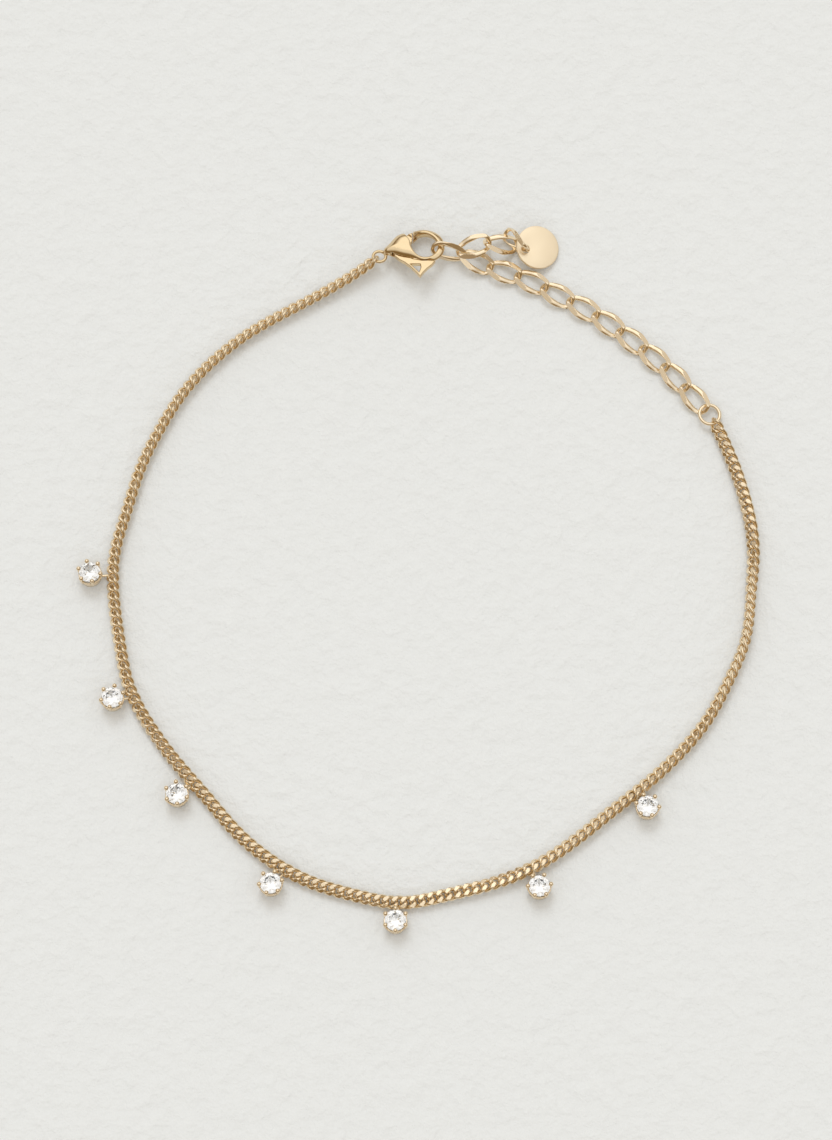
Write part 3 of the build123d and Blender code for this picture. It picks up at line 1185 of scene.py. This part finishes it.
    def held_link(self, pose: Pose, links: list[Pose]) -> Pose:
        """The pose of the chain link that the setting is soldered to.

        It fills the gap between the two links nearest to the setting, so each of its axes is the mean of
        theirs, which are first turned the same way round.

        Args:
            pose: The cup's pose.
            links: The poses of the chain's other links.

        Returns:
            The pose.
        """
        one, two = sorted(links, key=lambda link: float(np.linalg.norm(link.origin - pose.origin)))[:2]
        same_way = np.sign((one.axes * two.axes).sum(axis=1))[:, None]
        x, y, _ = unit(one.axes + two.axes * same_way)
        z = unit(np.cross(x, y))
        return Pose((one.origin + two.origin) / 2, np.stack([x, np.cross(z, x), z]))

    def neck(self, pose: Pose, link: Pose, half: float) -> Surface:
        """The short soldered neck from the link's side wire to the cup.

        Args:
            pose: The cup's pose.
            link: The link's pose.
            half: From the link's middle to its side wire.

        Returns:
            The neck in the row frame.
        """
        outward = np.sign((pose.origin - link.origin) @ link.axes[1])
        middle = link.origin + link.axes[1] * outward * half
        aim = np.array([*pose.origin[:2], self.neck_aim]) - middle
        reach = float(np.linalg.norm(aim))
        stations = np.linspace(0.0, reach - self.cup_foot + self.cup_wall / 2, 5)
        centres = middle + aim / reach * stations[:, None]
        thick = self.neck_wire / 2 * (1.0 + self.neck_flare * np.linspace(-1, 1, 5) ** 2)
        return rod(centres, thick, 12)

    def build(self, finishes: Finishes, chain: CurbChain) -> None:
        """Makes the setting and the stone.

        Args:
            finishes: The materials.
            chain: The chain that holds the setting.
        """
        pose = self.pose()
        bearings = np.arange(self.claws) * math.tau / self.claws
        basket = joined([self.cup()] + [self.claw(float(bearing)) for bearing in bearings]).moved(pose)
        link = self.held_link(pose, chain.poses)
        neck = self.neck(pose, link, chain.shape.half)
        metal = joined([basket, chain.shape.surface().moved(link), neck])
        setting, stone = f"setting_{self.number}", f"stone_{self.number}"
        piece(f"{setting}_polished", metal, finishes.setting, Body.ANKLET, Slot.SETTING, setting)
        piece(f"{stone}_cut", self.stone().moved(pose), finishes.stone, Body.ANKLET, Slot.STONE, stone)


@dataclass
class DiscTag:
    """The flat round tag with a small hole near its edge.

    Args:
        radius: The disc's radius.
        thick: Its thickness.
        hole_radius: The hole's radius.
        hole_at: Where the hole's middle lies along x.
        edge: The radius of its rounded edges.
        turns: How many steps the band round the hole has.
        arc_points: How many points a rounded edge has.
    """

    radius: float = 2.65 * MM
    thick: float = 0.40 * MM
    hole_radius: float = 0.50 * MM
    hole_at: float = -1.60 * MM
    edge: float = 0.09 * MM
    turns: int = 144
    arc_points: int = 5

    def pose(self) -> Pose:
        """The tag's pose, from its middle to the side away from the hole.

        The disc's own middle is halfway between its furthest points along two directions. The middle
        of its area lies a little further from the hole, which gives the direction of x.

        Returns:
            The pose.
        """
        triangles = triangles_of("disc_tag")
        spread = upright_pose(triangles)
        flat = spread.local(triangles.reshape(-1, 3))
        middle = spread.carry((flat.max(axis=0) + flat.min(axis=0)) / 2)
        z = spread.axes[2]
        x = spread.origin - middle
        x = unit(x - z * (x @ z))
        return Pose(middle, np.stack([x, np.cross(z, x), z]))

    def surface(self) -> Surface:
        """The disc as a band between its rim and its hole.

        At the bearing a about the hole, the band runs from the hole's radius to the rim, which lies
        t = -c cos a + sqrt(R^2 - c^2 sin^2 a) away, where c is the hole's place. Its section is a
        rectangle with rounded corners.

        Returns:
            The disc about its own middle.
        """
        bearing = (np.arange(self.turns) / self.turns * math.tau)[:, None]
        cosine, sine = np.cos(bearing), np.sin(bearing)
        away = np.sqrt(self.radius**2 - (self.hole_at * sine) ** 2) - self.hole_at * cosine
        arc = np.linspace(0, math.pi / 2, self.arc_points)
        pull = self.edge * (1 - np.sin(arc))
        high = self.thick / 2 - self.edge * (1 - np.cos(arc))
        pull, high = np.concatenate([pull, pull[::-1]]), np.concatenate([high, -high[::-1]])
        hole = np.broadcast_to(self.hole_radius + pull[::-1], (self.turns, len(pull)))
        radius = np.concatenate([away - pull, hole], axis=1)
        height = np.concatenate([high, high[::-1]])
        grid = np.broadcast_arrays(self.hole_at + radius * cosine, radius * sine, height)
        points = np.stack(grid, axis=-1).reshape(-1, 3)
        return Surface(points, [grid_faces(self.turns, len(height), True, True)]).outward()

    def build(self, finishes: Finishes) -> None:
        """Makes the tag as one piece.

        Args:
            finishes: The materials.
        """
        piece("disc_tag_polished", self.surface().moved(self.pose()), finishes.tag, Body.ANKLET, Slot.TAG,
              "disc_tag")


@dataclass
class LobsterClasp:
    """The clasp's domed body and its sprung lever, in their own plane, in millimetres.

    u runs from the eye to the hook, v across, and w out of the plane.

    Args:
        body_rounds: The u, v and radius of the three circles whose hull is the body's outline.
        rounds_blend: How softly the hull's two parts meet.
        body_side: Points (u, w) of the body's half thickness, which a curve of side_power follows.
        side_power: The power of that curve.
        side_limits: The least and the greatest half thickness.
        dome: How far in from the outline the dome reaches its full height.
        fullness: The dome's power: 2 is an ellipse, and more fills its shoulders.
        hole_at: The middle of the hook's hole.
        hole_half: Half its length and width.
        hole_flare: How much wider it gets outwards.
        flare_span: The heights between which it widens.
        hole_edge: The softness of its edge.
        mouth: The outline of the mouth, which the gate closes.
        mouth_edge: The softness of its edge.
        slot: The outline of the slot for the spur.
        slot_half: Half the width of the lever's room.
        slot_edge: The softness of its edge.
        swing_reach: How far from the pin the gate's room reaches.
        swing: The bearings in degrees between which it lies.
        pin_at: The middle of the pin.
        pin_radius: The pin's radius.
        pin_half: Half its length.
        pin_edge: The softness of its edge.
        hub_radius: The radius of the lever's hub.
        hub_room: The room round the hub.
        bore: The radius of the hub's hole.
        lever_half: Half the lever's thickness.
        lever_edge: The softness of its edges.
        tip_half: Half the thickness of the gate past the cheeks.
        tip_span: How far from the pin it starts and ends to get thicker.
        gate: The gate's outline.
        spur: The outline of the thumb spur.
        window: The outline of the window in the spur.
        window_edge: The softness of its edge.
        eye_at: The middle of the end eye.
        eye_radius: Its radius, to the middle of its wire.
        eye_wire: The radius of its wire.
        eye_blend: How softly it joins the body.
        body_box: The lowest and the highest corner of a box about the body.
        lever_box: The same for the lever.
        cell: The size of a cell of the grid that the surfaces are taken from.
    """

    body_rounds: tuple[tuple[float, float, float], ...] = (
        (0.19, 0.07, 2.34), (-2.25, 0.05, 1.56), (-4.30, -0.54, 0.48))
    rounds_blend: float = 0.5
    body_side: FlatPoints = (
        (-4.90, 0.50), (-3.40, 0.98), (-2.00, 1.10), (-0.60, 0.92), (0.80, 0.56), (2.60, 0.44))
    side_power: int = 4
    side_limits: tuple[float, float] = (0.40, 1.2)
    dome: float = 1.25
    fullness: float = 2.3
    hole_at: tuple[float, float] = (0.18, 0.04)
    hole_half: tuple[float, float] = (1.50, 1.64)
    hole_flare: float = 0.22
    flare_span: tuple[float, float] = (0.10, 0.58)
    hole_edge: float = 0.25
    mouth: FlatPoints = (
        (-2.42, 1.60), (-1.75, 0.50), (-1.10, -0.90), (-0.90, 0.00), (-1.29, 0.90), (-1.29, 2.80),
        (-3.00, 2.80))
    mouth_edge: float = 0.14
    slot: FlatPoints = (
        (-3.95, -3.00), (1.40, -3.00), (1.40, -2.00), (-1.10, -1.72), (-1.60, -0.90), (-3.95, -0.90))
    slot_half: float = 0.36
    slot_edge: float = 0.08
    swing_reach: float = 3.00
    swing: tuple[float, float] = (-60.0, 112.0)
    pin_at: tuple[float, float] = (-3.20, -0.55)
    pin_radius: float = 0.24
    pin_half: float = 0.90
    pin_edge: float = 0.05
    hub_radius: float = 0.60
    hub_room: float = 0.06
    bore: float = 0.30
    lever_half: float = 0.30
    lever_edge: float = 0.16
    tip_half: float = 0.50
    tip_span: tuple[float, float] = (2.40, 2.60)
    gate: FlatPoints = (
        (-2.66, 1.34), (-1.34, 1.84), (-1.34, 0.75), (-1.62, 0.25), (-2.55, -0.75), (-3.35, 0.03))
    spur: FlatPoints = (
        (-3.60, -0.95), (-3.45, -1.45), (-2.95, -1.95), (-2.30, -2.36), (-1.65, -2.92), (-1.10, -3.55),
        (-0.40, -4.42), (0.02, -3.78), (0.52, -3.18), (1.05, -2.70), (1.42, -2.15), (-1.20, -1.85),
        (-2.50, -1.00))
    window: FlatPoints = (
        (-1.58, -2.62), (-0.42, -2.62), (-0.34, -3.05), (-0.55, -3.78))
    window_edge: float = 0.12
    eye_at: tuple[float, float, float] = (-5.30, -1.05, -0.45)
    eye_radius: float = 0.77
    eye_wire: float = 0.19
    eye_blend: float = 0.16
    body_box: tuple[tuple[float, float, float], ...] = ((-6.4, -2.5, -1.25), (2.7, 2.5, 1.25))
    lever_box: tuple[tuple[float, float, float], ...] = ((-3.9, -4.5, -0.6), (1.5, 1.9, 0.6))
    cell: float = 0.055

    def pose(self) -> Pose:
        """The clasp's pose, from the lever's joint: w is against its axis, and the pin lies on it.

        Returns:
            The pose.
        """
        joint = frame["joints"][0]
        w = -unit(np.array(joint["axis"]))
        u = unit(np.array([1.0, 0.0, 0.0]) - w * w[0])
        axes = np.stack([u, np.cross(w, u), w])
        pin = np.array([*self.pin_at, 0.0]) * MM
        return Pose(np.array(joint["pos_m"]) - pin @ axes, axes)

    def room_distance(self, spots: np.ndarray) -> np.ndarray:
        """The distance from the room that the lever has in the body, in the plane.

        The room is the slot, the sector that the gate sweeps about the pin, and a circle for the hub.

        Args:
            spots: An (n, 2) array of points of the plane.

        Returns:
            The distance of each point, less than zero inside the room.
        """
        pin = spots - self.pin_at
        away = np.linalg.norm(pin, axis=1)
        low, high = np.radians(self.swing)
        under = math.sin(low) * pin[:, 0] - math.cos(low) * pin[:, 1]
        over = math.cos(high) * pin[:, 1] - math.sin(high) * pin[:, 0]
        sector = np.maximum(away - self.swing_reach, np.maximum(under, over))
        slot = outline_distance(spots, np.array(self.slot))
        return np.minimum(np.minimum(slot, sector), away - self.hub_radius - self.hub_room)

    def body_distance(self, points: np.ndarray) -> np.ndarray:
        """The distance from the body.

        Its outline is the hull of three circles. With d the depth inside the outline over the dome's
        width and t the half thickness along u, the dome is where (1 - d)^n + (w / t)^n is less than 1.
        The hole, the mouth and the lever's room are taken away, and the pin and the eye are added.

        Args:
            points: An (n, 3) array of points.

        Returns:
            About the distance of each point, less than zero inside.
        """
        spots, high = points[:, :2], np.abs(points[:, 2])
        rounds = np.array(self.body_rounds)
        outline = soft_min(tapered_distance(spots, rounds[0], rounds[1]),
                           tapered_distance(spots, rounds[1], rounds[2]), self.rounds_blend)
        curve = np.polyfit(*np.array(self.body_side).T, self.side_power)
        side = np.clip(np.polyval(curve, points[:, 0]), *self.side_limits)
        edge = np.maximum(1 + outline / self.dome, 0) ** self.fullness
        solid = ((edge + (high / side) ** self.fullness) ** (1 / self.fullness) - 1) * side
        share = np.interp(high, self.flare_span, (0, 1))
        wide = np.array(self.hole_half) + self.hole_flare * (share**2)[:, None]
        hole = (np.linalg.norm((spots - self.hole_at) / wide, axis=1) - 1) * wide.min(axis=1)
        solid = soft_max(solid, -hole, self.hole_edge)
        solid = soft_max(solid, -outline_distance(spots, np.array(self.mouth)), self.mouth_edge)
        room = np.maximum(self.room_distance(spots), high - self.slot_half)
        solid = soft_max(solid, -room, self.slot_edge)
        pin = np.linalg.norm(spots - self.pin_at, axis=1) - self.pin_radius
        solid = np.minimum(solid, soft_max(pin, high - self.pin_half, self.pin_edge))
        ring = np.linalg.norm(spots - self.eye_at[:2], axis=1) - self.eye_radius
        eye = np.hypot(ring, points[:, 2] - self.eye_at[2]) - self.eye_wire
        return soft_min(solid, eye, self.eye_blend)

    def lever_distance(self, points: np.ndarray) -> np.ndarray:
        """The distance from the lever: hub, gate and spur in the plane, with a window and rounded edges.

        Past the cheeks the gate is as thick as the hook that it meets.

        Args:
            points: An (n, 3) array of points.

        Returns:
            About the distance of each point, less than zero inside.
        """
        spots, high = points[:, :2], np.abs(points[:, 2])
        away = np.linalg.norm(spots - self.pin_at, axis=1)
        plane = np.minimum(away - self.hub_radius, outline_distance(spots, np.array(self.gate)))
        plane = np.minimum(plane, outline_distance(spots, np.array(self.spur)))
        plane = soft_max(plane, -outline_distance(spots, np.array(self.window)), self.window_edge)
        plane = np.maximum(plane, self.bore - away)
        share = np.interp(away, self.tip_span, (0, 1)) * (points[:, 1] > 0)
        half = self.lever_half + (self.tip_half - self.lever_half) * share
        return soft_max(plane, high - half, self.lever_edge)

    def build(self, finishes: Finishes) -> None:
        """Makes the body and the lever.

        Args:
            finishes: The materials.
        """
        pose = self.pose()
        for node, distance, box, body in (
                ("clasp_body", self.body_distance, self.body_box, Body.ANKLET),
                ("clasp_lever", self.lever_distance, self.lever_box, Body.LEVER)):
            surface = skin(distance, *np.array(box), self.cell)
            surface.points *= MM
            piece(f"{node}_polished", surface.moved(pose), finishes.clasp, body, Slot.CLASP, node)


# ---- the studio -------------------------------------------------------------------------------


@dataclass
class Studio:
    """Paper, one key light, surroundings and camera.

    Args:
        elevation: The camera's height above the horizon, in radians.
        distance: From the camera to the origin.
        image_width: The picture's width, in the unit of focal and shift.
        focal: The camera's focal length.
        shift: How far the picture is shifted, across and up.
        sensor: The width of the camera's sensor, in millimetres.
        near: The least distance that the camera shows, in metres.
        paper_half: Half the paper's width.
        key_elevation: The key light's height above the horizon, in radians.
        key_turn: How far its bearing is turned from the far side.
        key_angle: How broad it is.
        key_power: Its strength.
        key_color: Its colour.
        lean: How far the room's overhead direction leans to the far side.
        wall_color: The walls' colour in shiny surfaces.
        far_color: The walls' colour through clear ones.
        ceiling_color: The colour overhead.
        fill_color: The light of the room on matt surfaces.
        wall_span: The heights on a unit sphere between which wall turns into ceiling.
        window_span: The nearness to the key light, as a cosine, between which the window appears.
        window_level: How much brighter the window is, as a share.
    """

    elevation: float = math.radians(78.0)
    distance: float = 360 * MM
    image_width: float = 832.0
    focal: float = 3060.0
    shift: tuple[float, float] = (-16.0, 5.0)
    sensor: float = 36.0
    near: float = 0.01
    paper_half: float = 0.9
    key_elevation: float = math.radians(52.0)
    key_turn: float = math.radians(10.0)
    key_angle: float = math.radians(26.0)
    key_power: float = 0.80
    key_color: Color = (0.83, 0.91, 1.0)
    lean: float = math.radians(20.0)
    wall_color: Color = (0.25, 0.17, 0.08)
    far_color: Color = (1.0, 0.99, 0.97)
    ceiling_color: Color = (1.0, 0.985, 0.96)
    fill_color: Color = (0.815, 0.79, 0.752)
    wall_span: tuple[float, float] = (0.36, 0.82)
    window_span: tuple[float, float] = (0.80, 0.95)
    window_level: float = 0.30

    def paper(self) -> None:
        """The sheet that the anklet lies on."""
        h = self.paper_half
        mesh = bpy.data.meshes.new("paper")
        mesh.from_pydata([(-h, -h, 0), (h, -h, 0), (h, h, 0), (-h, h, 0)], [], [(0, 1, 2, 3)])
        mesh.materials.append(PaperFinish("paper").material())
        sheet = bpy.data.objects.new("paper", mesh)
        bpy.context.scene.collection.objects.link(sheet)

    def key_light(self) -> None:
        """A broad soft key from beyond the far side, which gives the paper its shadows.

        Shiny and clear surfaces mirror the room instead, where its window is already shown.
        """
        light = bpy.data.lights.new("key", "SUN")
        light.angle = self.key_angle
        light.energy = self.key_power
        light.color = self.key_color
        made = bpy.data.objects.new("key", light)
        made.rotation_euler = (-(math.pi / 2 - self.key_elevation), 0.0, self.key_turn)
        made.visible_glossy = False
        made.visible_transmission = False
        bpy.context.scene.collection.objects.link(made)

    @staticmethod
    def nearness(tree: bpy.types.NodeTree, direction: tuple[float, float, float]) -> bpy.types.ShaderNode:
        """The cosine between a ray and a direction, as a dot product.

        Args:
            tree: The node tree that it belongs to.
            direction: The direction, of length one.

        Returns:
            The node, which waits for the ray at its first input.
        """
        made = tree.nodes.new("ShaderNodeVectorMath")
        made.operation = "DOT_PRODUCT"
        made.inputs[1].default_value = direction
        return made

    def surroundings(self) -> None:
        """The room: pale overhead and towards the window, and brown towards the walls.

        Shiny and clear surfaces see it, and the walls are paler through a stone. Matt ones take one warm
        fill from it, a little stronger towards the window, which tints the shadows.
        """
        world = bpy.data.worlds.new("room")
        world.use_nodes = True
        tree = world.node_tree
        background = tree.nodes["Background"]
        place = tree.nodes.new("ShaderNodeTexCoord")
        across = math.cos(self.key_elevation)
        to_key = (-across * math.sin(self.key_turn), across * math.cos(self.key_turn),
                  math.sin(self.key_elevation))
        overhead = self.nearness(tree, (0.0, math.sin(self.lean), math.cos(self.lean)))
        toward = self.nearness(tree, to_key)
        height = graded(tree, *self.wall_span, 0.0, 1.0)
        window = graded(tree, *self.window_span, 1.0, 1.0 + self.window_level)
        for step in (height, window):
            step.interpolation_type = "SMOOTHSTEP"
        wall = blend(tree, self.wall_color, self.far_color)
        room = blend(tree, None, self.ceiling_color)
        both = blend(tree, self.fill_color, None)
        ray = tree.nodes.new("ShaderNodeLightPath")
        seen = tree.nodes.new("ShaderNodeMath")
        seen.operation = "MAXIMUM"
        wire(tree,
             (place.outputs["Generated"], overhead.inputs[0]),
             (overhead.outputs["Value"], height.inputs["Value"]),
             (height.outputs["Result"], room.inputs["Factor"]),
             (ray.outputs["Is Transmission Ray"], wall.inputs["Factor"]),
             (wall.outputs["Result"], room.inputs["A"]),
             (place.outputs["Generated"], toward.inputs[0]),
             (toward.outputs["Value"], window.inputs["Value"]),
             (ray.outputs["Is Glossy Ray"], seen.inputs[0]),
             (ray.outputs["Is Transmission Ray"], seen.inputs[1]),
             (seen.outputs["Value"], both.inputs["Factor"]),
             (room.outputs["Result"], both.inputs["B"]),
             (both.outputs["Result"], background.inputs["Color"]),
             (window.outputs["Result"], background.inputs["Strength"]))
        bpy.context.scene.world = world

    def camera(self) -> None:
        """The camera above the near side, with a small shift for the framing."""
        lens = bpy.data.cameras.new("camera")
        lens.sensor_fit = "HORIZONTAL"
        lens.sensor_width = self.sensor
        lens.lens = self.focal / self.image_width * self.sensor
        lens.shift_x = self.shift[0] / self.image_width
        lens.shift_y = self.shift[1] / self.image_width
        lens.clip_start = self.near
        made = bpy.data.objects.new("camera", lens)
        made.location = (0.0, -self.distance * math.cos(self.elevation),
                         self.distance * math.sin(self.elevation))
        made.rotation_euler = (math.pi / 2 - self.elevation, 0.0, 0.0)
        bpy.context.scene.collection.objects.link(made)
        bpy.context.scene.camera = made

    def build(self) -> None:
        """Sets up the whole studio."""
        self.camera()
        self.paper()
        self.surroundings()
        self.key_light()
        bpy.context.scene.view_settings.view_transform = "Standard"


def main() -> None:
    """Builds the studio and every piece of the anklet."""
    logging.basicConfig(level=logging.INFO, format="%(message)s")
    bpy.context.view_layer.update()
    Studio().build()
    finishes = Finishes.made()
    chain = CurbChain()
    chain.read()
    LOG.info("the frame has %d small links", len(chain.poses))
    chain.build(finishes)
    Extender().build(finishes)
    stones = sum(name.startswith("stone_") for name in frame["nodes"])
    for number in range(1, stones + 1):
        StoneSetting(number).build(finishes, chain)
    DiscTag().build(finishes)
    LobsterClasp().build(finishes)
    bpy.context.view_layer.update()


if __name__ == "__main__":
    main()
